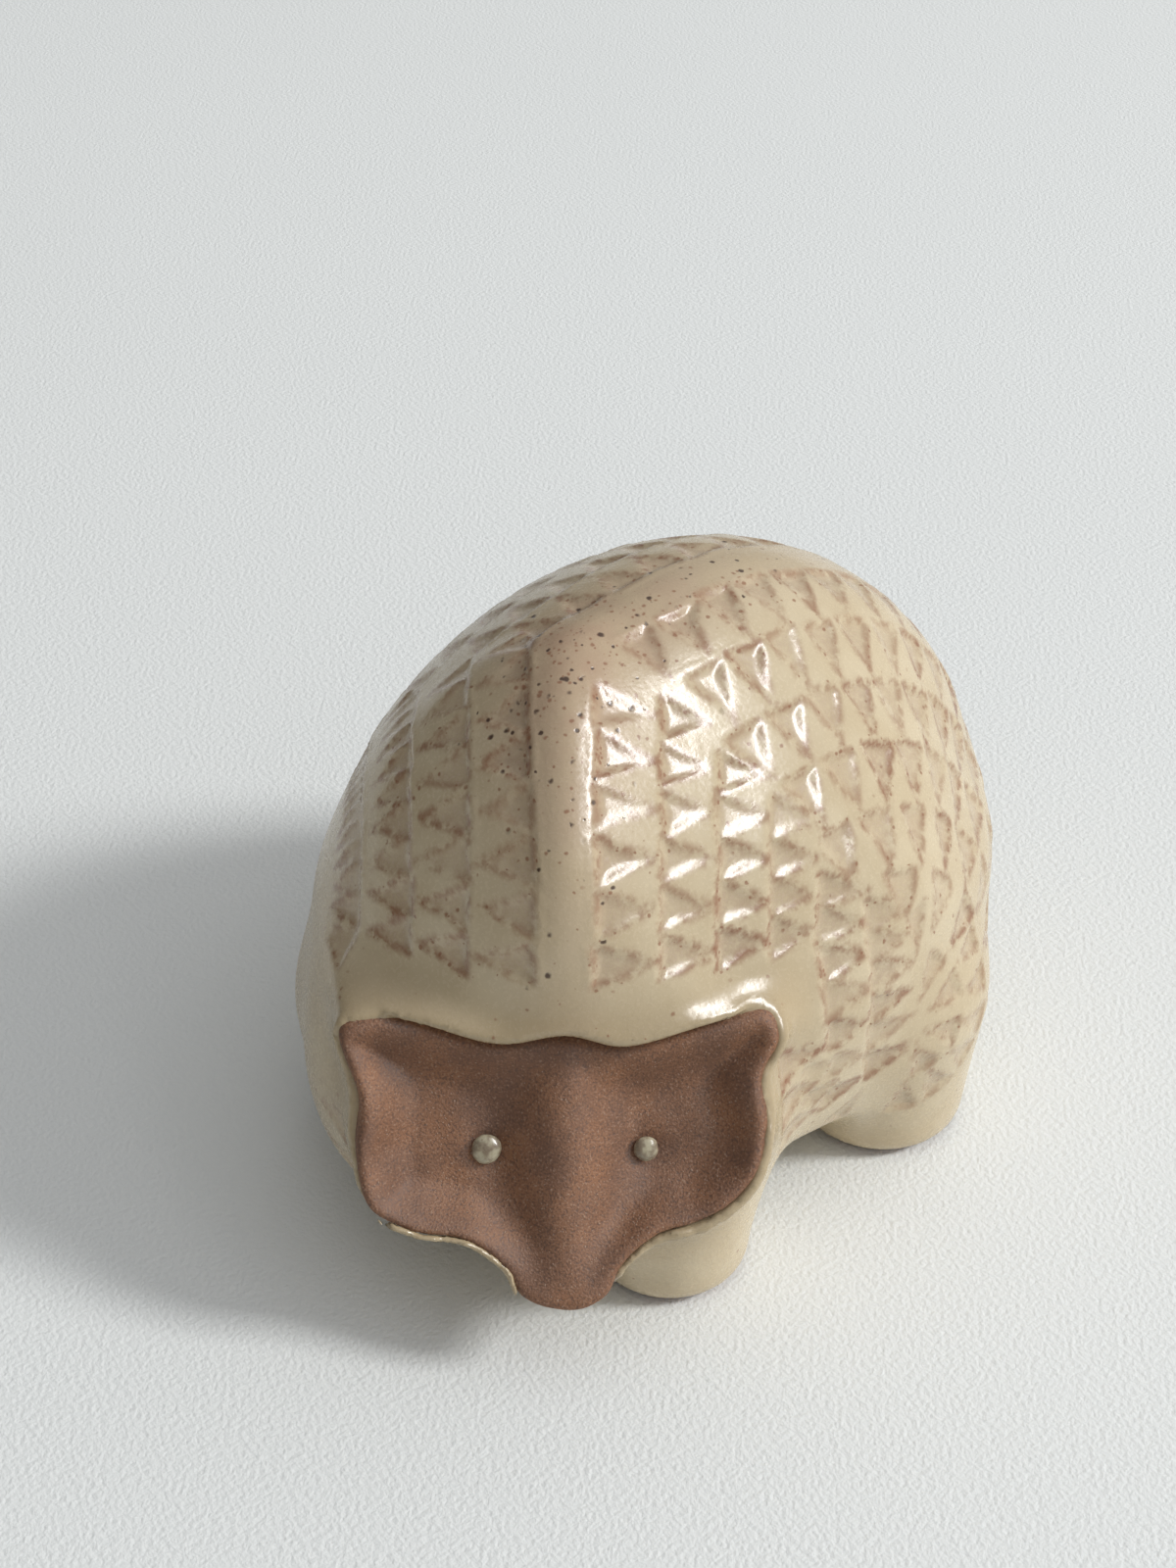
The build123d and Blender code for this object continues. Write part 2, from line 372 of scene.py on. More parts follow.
@dataclass
class Legs:
    """Four stub legs. Millimetres."""

    top: float = 26.0
    flare: float = 3.5
    lean: float = 3.0
    places: tuple = ((42.0, -37.5, 12.5), (-20.0, -50.0, 12.5), (39.5, 16.0, 14.0), (-38.0, 18.0, 14.0))

    def distance(self, p: np.ndarray) -> list[np.ndarray]:
        """Distance to each leg, a cone with a round top.

        Args:
            p: Places, one row each.

        Returns:
            One set of distances for each leg.
        """
        found = []
        for x, y, radius in self.places:
            lean = math.radians(-self.lean if x > 0 else self.lean)
            away = p - np.array((x, y, 0.0))
            side = away[:, 0] * math.cos(lean) - away[:, 2] * math.sin(lean)
            rise = away[:, 0] * math.sin(lean) + away[:, 2] * math.cos(lean)
            out = np.hypot(side, away[:, 1])
            cone = out - radius - self.flare * rise / self.top
            ball = np.hypot(out, rise - self.top) - radius - self.flare
            found.append(np.where(rise < self.top, cone, ball))
        return found


@dataclass(frozen=True)
class Blend:
    """How softly the pieces of the form run into each other. Millimetres."""

    roll: float = 9.0
    crest: float = 7.0
    belly: float = 8.0
    muzzle: float = 7.0
    leg: float = 9.0

    @staticmethod
    def sharp() -> "Blend":
        """Pieces that meet at an edge."""
        return Blend(0.05, 0.05, 0.05, 0.05, 0.05)


@dataclass(frozen=True)
class Draw:
    """How the forehead is drawn up to its crest, and in beside it. Millimetres."""

    height: float = 1.4
    width: float = 7.0
    run: tuple = (-108.0, -58.0)
    left: float = 3.2
    right: float = 1.6
    start: tuple = (6.0, 33.0)
    end: tuple = (42.0, 74.0)
    ahead: tuple = (-120.0, -80.0)
    front: tuple = (-34.0, -24.0)
    rise: tuple = (46.0, 62.0)


@dataclass(frozen=True)
class Rim:
    """Edge of the glaze round the face. Millimetres."""

    recess: float = 1.3
    deep: float = 7.0
    deep_run: tuple = (0.6, 3.0)
    uneven: tuple = ((0.25, 7.0, 4), (0.15, 2.6, 5))
    nose: float = 4.0
    nose_rise: tuple = (2.5, 8.0)
    cheek: float = 3.0
    cheek_across: tuple = (22.0, 27.0)
    cheek_rise: tuple = (14.0, 20.0)
    side: float = 1.6
    side_across: tuple = (22.0, 33.0)
    side_rise: tuple = (44.0, 50.0)
    margin: float = 1.6
    brow: float = 1.1
    brow_rise: tuple = (37.0, 42.0)
    jaw: float = 3.1
    jaw_across: tuple = (5.0, 9.0)
    jaw_rise: tuple = (15.0, 19.0)
    jaw_thin: float = 0.4
    jaw_out: tuple = (-7.0, -2.0)
    wall: float = 0.6
    wall_free: float = 4.0
    wall_out: tuple = (-5.2, -3.4)
    wall_soft: float = 0.3
    soft: float = 0.8


@dataclass(frozen=True)
class Plate:
    """Bare plate of the face, with a pit beside each eye. Millimetres."""

    gap: float = 0.15
    edge_soft: float = 3.0
    thick: float = 9.0
    back_soft: float = 1.0
    pit_aside: float = 1.1
    pit_down: float = 0.3
    pit_depth: float = 1.0
    pit_width: float = 3.2
    uneven: tuple = (0.10, 9.0, 8)


@dataclass
class Form:
    """The whole clay form, blended as soft clay is. Millimetres, in the maker's own frame."""

    trunk: Trunk = field(default_factory=Trunk)
    face: Face = field(default_factory=Face)
    head: Head = field(default_factory=Head)
    legs: Legs = field(default_factory=Legs)
    blend: Blend = field(default_factory=Blend)
    draw: Draw = field(default_factory=Draw)
    rim: Rim = field(default_factory=Rim)
    plate: Plate = field(default_factory=Plate)
    eye: tuple[float, float, float] = (13.0, 27.0, -4.62)
    eye_radius: float = 2.5
    keel: float = 1.0
    coat: float = 0.9
    coat_soft: float = 1.0
    stop: float = 1.6
    stop_soft: float = 0.7
    foot: float = 4.5
    sole_gap: float = 0.45
    sole_top: float = 9.0
    sole_soft: float = 1.0
    vent: float = 5.0
    vent_top: float = 24.0
    vent_soft: float = 1.0
    vent_round: float = 1.5
    flank: float = -54.2
    flank_soft: float = 1.0
    brow_pace: float = 1.1
    brow_bend: float = 8.0
    low: tuple = (-60.0, -94.0, -4.0)
    high: tuple = (68.0, 68.0, 108.0)

    def eye_place(self, side: int) -> np.ndarray:
        """Middle of one eye bead.

        Args:
            side: 1 for the left eye, -1 for the right.

        Returns:
            Its place.
        """
        across, rise, out = self.eye
        face = self.face
        return face.nose + face.aside * side * across + face.up * rise + face.out * out

    def clay(self, p: np.ndarray) -> np.ndarray:
        """Distance to the outside of the clay, body and legs.

        Args:
            p: Places, one row each.

        Returns:
            Distance at each place, below zero inside.
        """
        body = smooth_min(self.trunk.distance(p), self.head.roll(p, self.face), self.blend.roll)
        body = smooth_min(body, self.head.crest(p, self.face), self.blend.crest)
        body = smooth_max(body, self.trunk.belly - p[:, 2], self.blend.belly)
        body = smooth_min(body, self.face.muzzle(p), self.blend.muzzle)
        for leg in self.legs.distance(p):
            body = smooth_min(body, leg, self.blend.leg)
        body = smooth_max(body, self.flank - p[:, 0], self.flank_soft)
        return body - self.keel * self.ridge(p)

    def from_crest(self, p: np.ndarray) -> np.ndarray:
        """Distance from the crest over the surface.

        Args:
            p: Places, one row each.

        Returns:
            Distance at each place, above zero on the left flank.
        """
        trunk, face = self.trunk, self.face
        start = math.asin(trunk.offset / trunk.radius)
        share = np.clip((np.abs(p[:, 0]) + trunk.offset) / trunk.radius, 0.0, 0.999)
        back = np.sign(p[:, 0]) * trunk.radius * (np.arcsin(share) - start)
        brow = (p - np.array((*face.root, 0.0))) @ face.aside
        return smooth_min(back, brow * self.brow_pace, self.brow_bend)

    def ridge(self, p: np.ndarray) -> np.ndarray:
        """Height that the forehead is drawn up to its crest, and drawn in beside it.

        Args:
            p: Places, one row each.

        Returns:
            Height at each place, below zero where it is drawn in.
        """
        draw = self.draw
        side = self.from_crest(p)
        away = np.abs(side)
        slope = np.where(side > 0.0, draw.left, draw.right)
        slope = slope * ease(away, *draw.start) * (1.0 - ease(away, *draw.end))
        ahead = (p - self.face.nose) @ self.face.ahead
        front = (1.0 - ease(ahead, *draw.front)) * ease(p[:, 2], *draw.rise)
        drawn = draw.height * np.exp(-((away / draw.width) ** 2)) * ease(ahead, *draw.run)
        return (drawn - slope * ease(ahead, *draw.ahead)) * front

    def window(self, p: np.ndarray, clay: np.ndarray) -> tuple[np.ndarray, np.ndarray]:
        """Room that the glaze leaves for the bare face.

        Args:
            p: Places, one row each.
            clay: Distance to the clay at each place.

        Returns:
            Distance to the room, and thickness of the glaze beside it, at each place.
        """
        rim = self.rim
        across, rise, out = self.face.local(p)
        edge = self.face.edge(across, rise)
        side, _, _ = self.face.sleeve(p)
        uneven = sum(high * waves(p, length, seed) for high, length, seed in rim.uneven)
        cheek = rim.cheek * ease(-across, *rim.cheek_across) * (1.0 - ease(rise, *rim.cheek_rise))
        flank = rim.side * ease(-across, *rim.side_across) * (1.0 - ease(rise, *rim.side_rise))
        under_nose = rim.nose * (1.0 - ease(rise, *rim.nose_rise))
        recess = rim.recess + (cheek + flank) + under_nose + uneven + rim.deep * ease(-edge, *rim.deep_run)
        jaw = ease(-across, *rim.jaw_across) * (1.0 - ease(rise, *rim.jaw_rise))
        margin = rim.margin - rim.jaw * jaw - rim.brow * ease(rise, *rim.brow_rise)
        room = smooth_max(np.minimum(edge, side) - margin, -out - recess, rim.soft)
        wall = clay + rim.wall - rim.wall_free * ease(out, *rim.wall_out)
        coat = self.coat * (1.0 - rim.jaw_thin * jaw * ease(out, *rim.jaw_out))
        return smooth_max(room, wall, rim.wall_soft), coat

    def glazed(self, p: np.ndarray) -> np.ndarray:
        """Distance to the outside of the glaze, which stops at the face, the vent and the soles.

        Args:
            p: Places, one row each.

        Returns:
            Distance at each place, below zero inside.
        """
        clay = self.clay(p)
        room, coat = self.window(p, clay)
        body = smooth_max(clay - coat, -room, self.coat_soft)
        body = smooth_max(body, -p[:, 2], self.foot)
        pit = np.hypot(p[:, 0], p[:, 1]) - self.vent
        pit = smooth_max(pit, p[:, 2] - self.vent_top, self.vent_soft)
        body = smooth_max(body, -pit, self.vent_round)
        return smooth_max(body, self.stop - p[:, 2], self.stop_soft)

    def sole(self, p: np.ndarray, leg: int) -> np.ndarray:
        """Distance to the bare foot of one leg, which shows below the glaze.

        Args:
            p: Places, one row each.
            leg: Number of the leg.

        Returns:
            Distance at each place, below zero inside.
        """
        skin = self.legs.distance(p)[leg] - self.coat + self.sole_gap
        foot = smooth_max(skin, -p[:, 2], self.foot)
        return smooth_max(foot, p[:, 2] - self.sole_top, self.sole_soft)

    def leave(self, start: np.ndarray, ways: np.ndarray) -> tuple[np.ndarray, np.ndarray]:
        """Last places at which rays leave the glazed form.

        Args:
            start: Place that the rays start from.
            ways: Direction of each ray.

        Returns:
            The places, and which of the rays met the form at all.
        """
        far, stride, rounds = 130.0, 0.5, 5
        steps = np.arange(0.0, far, stride)
        spots = start + ways[:, None, :] * steps[None, :, None]
        inside = self.clay(spots.reshape(-1, 3)).reshape(len(ways), -1) < self.coat
        reach = steps[inside.shape[1] - 1 - np.argmax(inside[:, ::-1], axis=1)]
        for _ in range(rounds):
            reach = reach + self.coat - self.clay(start + ways * reach[:, None])
        return start + ways * reach[:, None], inside.any(axis=1)

    def normal(self, p: np.ndarray) -> np.ndarray:
        """Outward direction of the clay at each place.

        Args:
            p: Places, one row each.

        Returns:
            Directions of length 1, one row each.
        """
        ways = np.eye(3) * 0.1
        slope = np.stack([self.clay(p + way) - self.clay(p - way) for way in ways], -1)
        return slope / np.linalg.norm(slope, axis=1, keepdims=True)

    def bare(self, p: np.ndarray) -> np.ndarray:
        """Distance to the bare clay of the face, a plate let into the glazed body.

        Args:
            p: Places, one row each.

        Returns:
            Distance at each place, below zero inside.
        """
        face, plate = self.face, self.plate
        across, rise, out = face.local(p)
        side, _, _ = face.sleeve(p)
        front = out - face.relief(across, rise)
        for sign in (1, -1):
            pit = self.eye_place(sign) + face.aside * plate.pit_aside - face.up * plate.pit_down
            gap = np.linalg.norm(p - pit, axis=1)
            front = front + plate.pit_depth * np.exp(-((gap / plate.pit_width) ** 2))
        high, length, seed = plate.uneven
        front = front + high * waves(p, length, seed)
        body = smooth_max(side + plate.gap, front, plate.edge_soft)
        return smooth_max(body, -out - plate.thick, plate.back_soft)


class Skin:
    """Turns a distance field into a closed mesh."""

    def __init__(self, shape: Field, low: tuple, high: tuple, voxel: float) -> None:
        """Samples the field on a grid and draws its surface.

        Args:
            shape: Distance field, in millimetres.
            low: Lowest corner of the grid.
            high: Highest corner of the grid.
            voxel: Spacing of the grid.
        """
        axes = [np.arange(a, b, voxel) for a, b in zip(low, high)]
        level = np.stack(np.meshgrid(axes[1], axes[2], indexing="ij"), -1).reshape(-1, 2)
        values = np.empty([len(a) for a in axes], np.float32)
        for i, x in enumerate(axes[0]):
            places = np.column_stack((np.full(len(level), x), level))
            values[i] = shape(places).reshape(len(axes[1]), len(axes[2]))
        band = 4.0 * voxel
        grid = openvdb.FloatGrid(band)
        grid.copyFromArray(np.clip(values, -band, band))
        points, quads = grid.convertToQuads(0.0)
        self.points = points.astype(float) * voxel + np.array(low)
        self.quads = quads.astype(np.int64)
        for _ in range(2):
            self.points -= self.slope(shape) * shape(self.points)[:, None]
        corner = self.points[self.quads]
        volume = np.einsum("ij,ij->", np.cross(corner[:, 0], corner[:, 1]), corner[:, 2])
        if volume < 0.0:
            self.quads = self.quads[:, ::-1]

    def slope(self, shape: Field) -> np.ndarray:
        """Direction in which the field grows at each point.

        Args:
            shape: Distance field, in millimetres.

        Returns:
            Step for one millimetre of distance, one row for each point.
        """
        nudge, least = 0.2, 0.25
        ways = np.eye(3) * nudge
        steps = [shape(self.points + way) - shape(self.points - way) for way in ways]
        slope = np.stack(steps, -1) / (2.0 * nudge)
        return slope / np.maximum(np.sum(slope**2, axis=1, keepdims=True), least)

    def mesh(self, name: str, shift: np.ndarray) -> bpy.types.Object:
        """Object with this surface, moved into the shared frame.

        Args:
            name: Name of the piece.
            shift: Move in millimetres from the maker's frame.

        Returns:
            A linked object at the origin, in metres.
        """
        data = bpy.data.meshes.new(name)
        spots = (self.points + shift) * MM
        data.vertices.add(len(spots))
        data.vertices.foreach_set("co", spots.astype(np.float32).ravel())
        data.loops.add(self.quads.size)
        data.loops.foreach_set("vertex_index", self.quads.astype(np.int32).ravel())
        data.polygons.add(len(self.quads))
        data.polygons.foreach_set("loop_start", np.arange(0, self.quads.size, 4, dtype=np.int32))
        data.update(calc_edges=True)
        data.validate()
        data.polygons.foreach_set("use_smooth", np.ones(len(data.polygons), bool))
        piece = bpy.data.objects.new(name, data)
        bpy.context.scene.collection.objects.link(piece)
        return piece


def carry(piece: bpy.types.Object, mark: Mark, values: np.ndarray) -> None:
    """Stores one value for each point of a piece."""
    store = piece.data.attributes.new(mark.value, "FLOAT", "POINT")
    store.data.foreach_set("value", values.astype(np.float32))


def dress(piece: bpy.types.Object, finish: bpy.types.Material, slot: Slot, *nodes: str) -> bpy.types.Object:
    """Gives a piece its finish and body, and hides the nodes of the solid model that it stands for.

    Args:
        piece: The finished piece.
        finish: Its material, if it has none yet.
        slot: Material slot of the record. Not used.
        *nodes: Nodes of the solid model that it replaces.

    Returns:
        The same piece.
    """
    if not piece.data.materials:
        piece.data.materials.append(finish)
    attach(piece, "root")
    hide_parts(*nodes)
    return piece


@dataclass
class StampRows:
    """Rows of pressed triangles that follow the crest on both flanks. Millimetres."""

    first: float = 10.5
    pitch: float = 12.0
    aside: tuple = (9.5, 20.0, 30.0, 38.5, 47.0, 54.5)
    spacing: float = 8.4
    width: float = 7.4
    length: float = 9.6
    depth: float = 0.9
    low: float = 24.0
    clear: float = 7.0
    coat: float = 1.2
    faint_low: float = 17.0
    faint: float = 0.75
    small: float = 0.78
    rings: tuple = ((9.5, -70.0, 250.0), (18.5, -85.0, 265.0), (27.5, -75.0, 60.0))
    ring_middle: tuple = (4.0, 37.0)
    apart: float = 0.8
    near: float = 9.0
    wobble: tuple = (11.0, 0.22, 31)
    swing: float = 0.05
    unlike: tuple = (0.92, 1.06)
    pressure: tuple = (0.65, 1.1)
    top: tuple = (6.0, -27.0, 98.0)
    top_reach: float = 30.0
    crest: tuple = (9.0, 5.0)
    crest_share: tuple = (0.15, 0.85)
    brow_reach: float = 8.0
    brow_out: tuple = (-16.0, -6.0)
    seed: int = 11

    def fans(self, form: Form, side: int, row: int) -> list[tuple]:
        """Fans of rays that a row lies on, first over the trunk and then over the head.

        Args:
            form: The clay form that carries the rows.
            side: 1 on the left flank, -1 on the right.
            row: Number of the row, from the crest.

        Returns:
            For each fan its middle, the level ray it starts from, its radius and the way to the flank.
        """
        trunk, face, head = form.trunk, form.face, form.head
        angle = math.asin(trunk.offset / trunk.radius) + (self.first + row * self.pitch) / trunk.radius
        out = np.array((float(side), 0.0, 0.0))
        middle = out * (trunk.radius * math.sin(angle) - trunk.offset) + UP * trunk.height
        brow = face.nose + face.up * face.height
        hub = np.array((brow[0], brow[1], head.crest_height)) - face.ahead * head.crest_radius
        hub = hub + face.aside * side * self.aside[row]
        over_trunk = (middle, np.array((0.0, 1.0, 0.0)), trunk.radius * math.cos(angle), out)
        return [over_trunk, (hub, -face.ahead, head.crest_radius, face.aside * side)]

    @staticmethod
    def lie(form: Form, p: np.ndarray, tip: np.ndarray) -> tuple[np.ndarray, np.ndarray]:
        """Lays the directions of triangles down on the surface.

        Args:
            form: The clay form.
            p: Middle of every triangle.
            tip: Rough direction to its tip.

        Returns:
            The outward direction at each place, and the direction to the tip along the surface.
        """
        out = form.normal(p)
        tip = tip - out * np.sum(tip * out, axis=1, keepdims=True)
        return out, tip / np.linalg.norm(tip, axis=1, keepdims=True)

    def spots(self, form: Form, low: float) -> Spots:
        """Places for triangles on a form.

        Args:
            form: The clay form.
            low: Height at which the rows end.

        Returns:
            Middle of every triangle, the outward direction there and the direction to its tip.
        """
        brow = form.face.nose + form.face.up * form.face.height
        found, tips = [], []
        for side in (1, -1):
            for row in range(len(self.aside)):
                fans = self.fans(form, side, row)
                for (middle, level, radius, flank), (bend, _, _, bend_flank) in (fans, fans[::-1]):
                    count = int(1.5 * math.pi * radius / self.spacing)
                    angle = (np.arange(count) + 0.5) * self.spacing / radius - math.pi / 4
                    ways = np.outer(np.cos(angle), level) + np.outer(np.sin(angle), UP)
                    p, met = form.leave(middle, ways)
                    by_face = (form.face.local(p)[2] > -self.clear) & (p[:, 2] < brow[2] + self.clear)
                    beyond = side * ((p - bend) @ bend_flank) > 0
                    kept = met & beyond & (p[:, 2] > low) & ~by_face
                    found.append(p[kept])
                    tips.append(np.tile(flank, (int(kept.sum()), 1)))
        p = np.concatenate(found)
        out, tip = self.lie(form, p, np.concatenate(tips))
        across = np.cross(tip, out)
        clear = np.ones(len(p), bool)
        for u, v, w in ((0.5, -0.5, -self.depth), (-0.5, -0.5, -self.depth), (0.0, 0.5, 0.0)):
            corner = p + across * u * self.width + tip * v * self.length + out * w
            clear &= form.clay(corner) > 0.0
        return p[clear], out[clear], tip[clear]

    def ring_spots(self, form: Form) -> Spots:
        """Places for small triangles in rings round the middle of each flank.

        Args:
            form: The clay form.

        Returns:
            Middle of every triangle, the outward direction there and the direction to its tip.
        """
        places = []
        for radius, start, end in self.rings:
            step = math.degrees(self.small * self.spacing / radius)
            angle = np.radians(np.arange(start, end, step))
            round_it = (np.zeros(len(angle)), np.cos(angle) * radius, np.sin(angle) * radius)
            places.append(np.column_stack(round_it))
        ring = np.concatenate(places)
        found, tips = [], []
        for side in (1.0, -1.0):
            for away in ring:
                start = np.array((0.0, *self.ring_middle)) + away
                p, met = form.leave(start, np.array(((side, 0.0, 0.0),)))
                if met[0] and p[0, 2] > self.faint_low and form.face.local(p)[2][0] < -self.clear:
                    found.append(p[0])
                    tips.append(-away)
        p = np.array(found)
        return (p, *self.lie(form, p, np.array(tips)))

    def stamps(self, form: Form) -> list[tuple]:
        """All triangles: the deep ones, and faint ones on the haunches between them.

        Args:
            form: The clay form.

        Returns:
            For each its middle, the outward direction, the direction to its tip, strength and scale.
        """
        deep = self.spots(replace(form, blend=Blend.sharp(), keel=0.0, coat=self.coat), self.low)
        made = [(*one, 1.0, 1.0) for one in zip(*deep)]
        soft = replace(form, coat=self.coat)
        faint = ((self.spots(soft, self.faint_low), 1.0), (self.ring_spots(soft), self.small))
        for places, scale in faint:
            for spot, out, tip in zip(*places):
                room = min(np.linalg.norm(one[0] - spot) for one in made)
                if room > self.apart * self.spacing * scale:
                    made.append((spot, out, tip, self.faint, scale))
        return made

    def lay_out(self, p: np.ndarray, form: Form) -> dict[Mark, np.ndarray]:
        """Place of every point in the triangle nearest to it.

        Args:
            p: Points of the surface.
            form: The clay form that carries the rows.

        Returns:
            Place from base to tip and across the triangle, its strength, and nearness to crest and face.
        """
        rng = np.random.default_rng(self.seed)
        length, high, seed = self.wobble
        wobble = np.stack([waves(p, length, seed + k) for k in range(3)], -1) * high
        best = np.full(len(p), self.near)
        values = {mark: np.zeros(len(p)) for mark in (Mark.ACROSS, Mark.ALONG, Mark.FADE)}
        for spot, out, tip, strength, scale in self.stamps(form):
            near = np.flatnonzero(np.abs(p - spot).max(axis=1) < self.near)
            swing = rng.normal(0.0, self.swing)
            level = np.cross(tip, out)
            down, over = tip + level * swing, level - tip * swing
            away = p[near] + wobble[near] - spot
            across = away @ down / (self.length * scale * rng.uniform(*self.unlike)) + 0.5
            along = away @ over / (0.5 * self.width * scale * rng.uniform(*self.unlike))
            reach = np.maximum(np.abs(along), np.abs(2.0 * across - 1.0))
            closer = reach < best[near]
            mine = near[closer]
            best[mine] = reach[closer]
            values[Mark.ACROSS][mine] = across[closer]
            values[Mark.ALONG][mine] = along[closer]
            values[Mark.FADE][mine] = strength * rng.uniform(*self.pressure)
        top = np.exp(-((np.linalg.norm(p - np.array(self.top), axis=1) / self.top_reach) ** 2))
        width = self.crest[0] + self.crest[1] * top
        share = self.crest_share[0] + self.crest_share[1] * top
        values[Mark.CREST] = np.exp(-((form.from_crest(p) / width) ** 2)) * share
        across, rise, out = form.face.local(p)
        near = np.exp(-((np.maximum(form.face.edge(across, rise), 0.0) / self.brow_reach) ** 2))
        values[Mark.BROW] = near * ease(out, *self.brow_out)
        return values


class Wiring:
    """Adds nodes to a shader or geometry tree and joins them."""

    def __init__(self, tree: bpy.types.NodeTree) -> None:
        """Keeps the tree to work on."""
        self.tree = tree

    def put(self, socket: bpy.types.NodeSocket, value: Any) -> None:
        """Joins an output to a socket, or sets its value.

        Args:
            socket: Input of a node.
            value: Output to join, or a plain value.
        """
        if isinstance(value, bpy.types.NodeSocket):
            self.tree.links.new(value, socket)
        else:
            socket.default_value = value

    def add(self, kind: str, inputs: dict | None = None, **settings: Any) -> bpy.types.Node:
        """New node.

        Args:
            kind: Type name of the node.
            inputs: Values or outputs by socket name or number.
            **settings: Properties of the node.

        Returns:
            The node.
        """
        node = self.tree.nodes.new(kind)
        for name, value in settings.items():
            setattr(node, name, value)
        for name, value in (inputs or {}).items():
            self.put(node.inputs[name], value)
        return node

    def calc(self, operation: str, *values: Any, clamp: bool = False) -> bpy.types.NodeSocket:
        """Output of one sum."""
        node = self.add("ShaderNodeMath", dict(enumerate(values)), operation=operation, use_clamp=clamp)
        return node.outputs[0]

    def times(self, first: Any, second: Any) -> bpy.types.NodeSocket:
        """Product of two values."""
        return self.calc("MULTIPLY", first, second)

    def step(self, value: Any, low: Any, high: Any, *ends: float) -> bpy.types.NodeSocket:
        """Soft step of a value between two limits.

        Args:
            value: The value that is read.
            low: Limit that gives the first end.
            high: Limit that gives the second end.
            *ends: What the limits become, 0 and 1 if left out.

        Returns:
            The stepped value.
        """
        to_low, to_high = ends or (0.0, 1.0)
        node = self.add("ShaderNodeMapRange", {0: value, 1: low, 2: high, 3: to_low, 4: to_high})
        node.interpolation_type = "SMOOTHSTEP"
        return node.outputs[0]

    def mix(self, share: Any, first: Any, second: Any) -> bpy.types.NodeSocket:
        """Colour between two colours.

        Args:
            share: Share of the second colour.
            first: First colour.
            second: Second colour.

        Returns:
            The mixed colour.
        """
        node = self.add("ShaderNodeMix", data_type="RGBA")
        for number, value in ((0, share), (6, first), (7, second)):
            self.put(node.inputs[number], value)
        return node.outputs[2]

    def noise(self, place: Any, scale: Any, detail: float, rough: float = 0.5) -> bpy.types.NodeSocket:
        """Value of a noise texture."""
        wanted = {"Vector": place, "Scale": scale, "Detail": detail, "Roughness": rough}
        return self.add("ShaderNodeTexNoise", wanted).outputs["Fac"]

    def value_of(self, mark: Mark) -> bpy.types.NodeSocket:
        """Value that the surface carries."""
        return self.add("ShaderNodeAttribute", attribute_name=mark.value).outputs["Fac"]


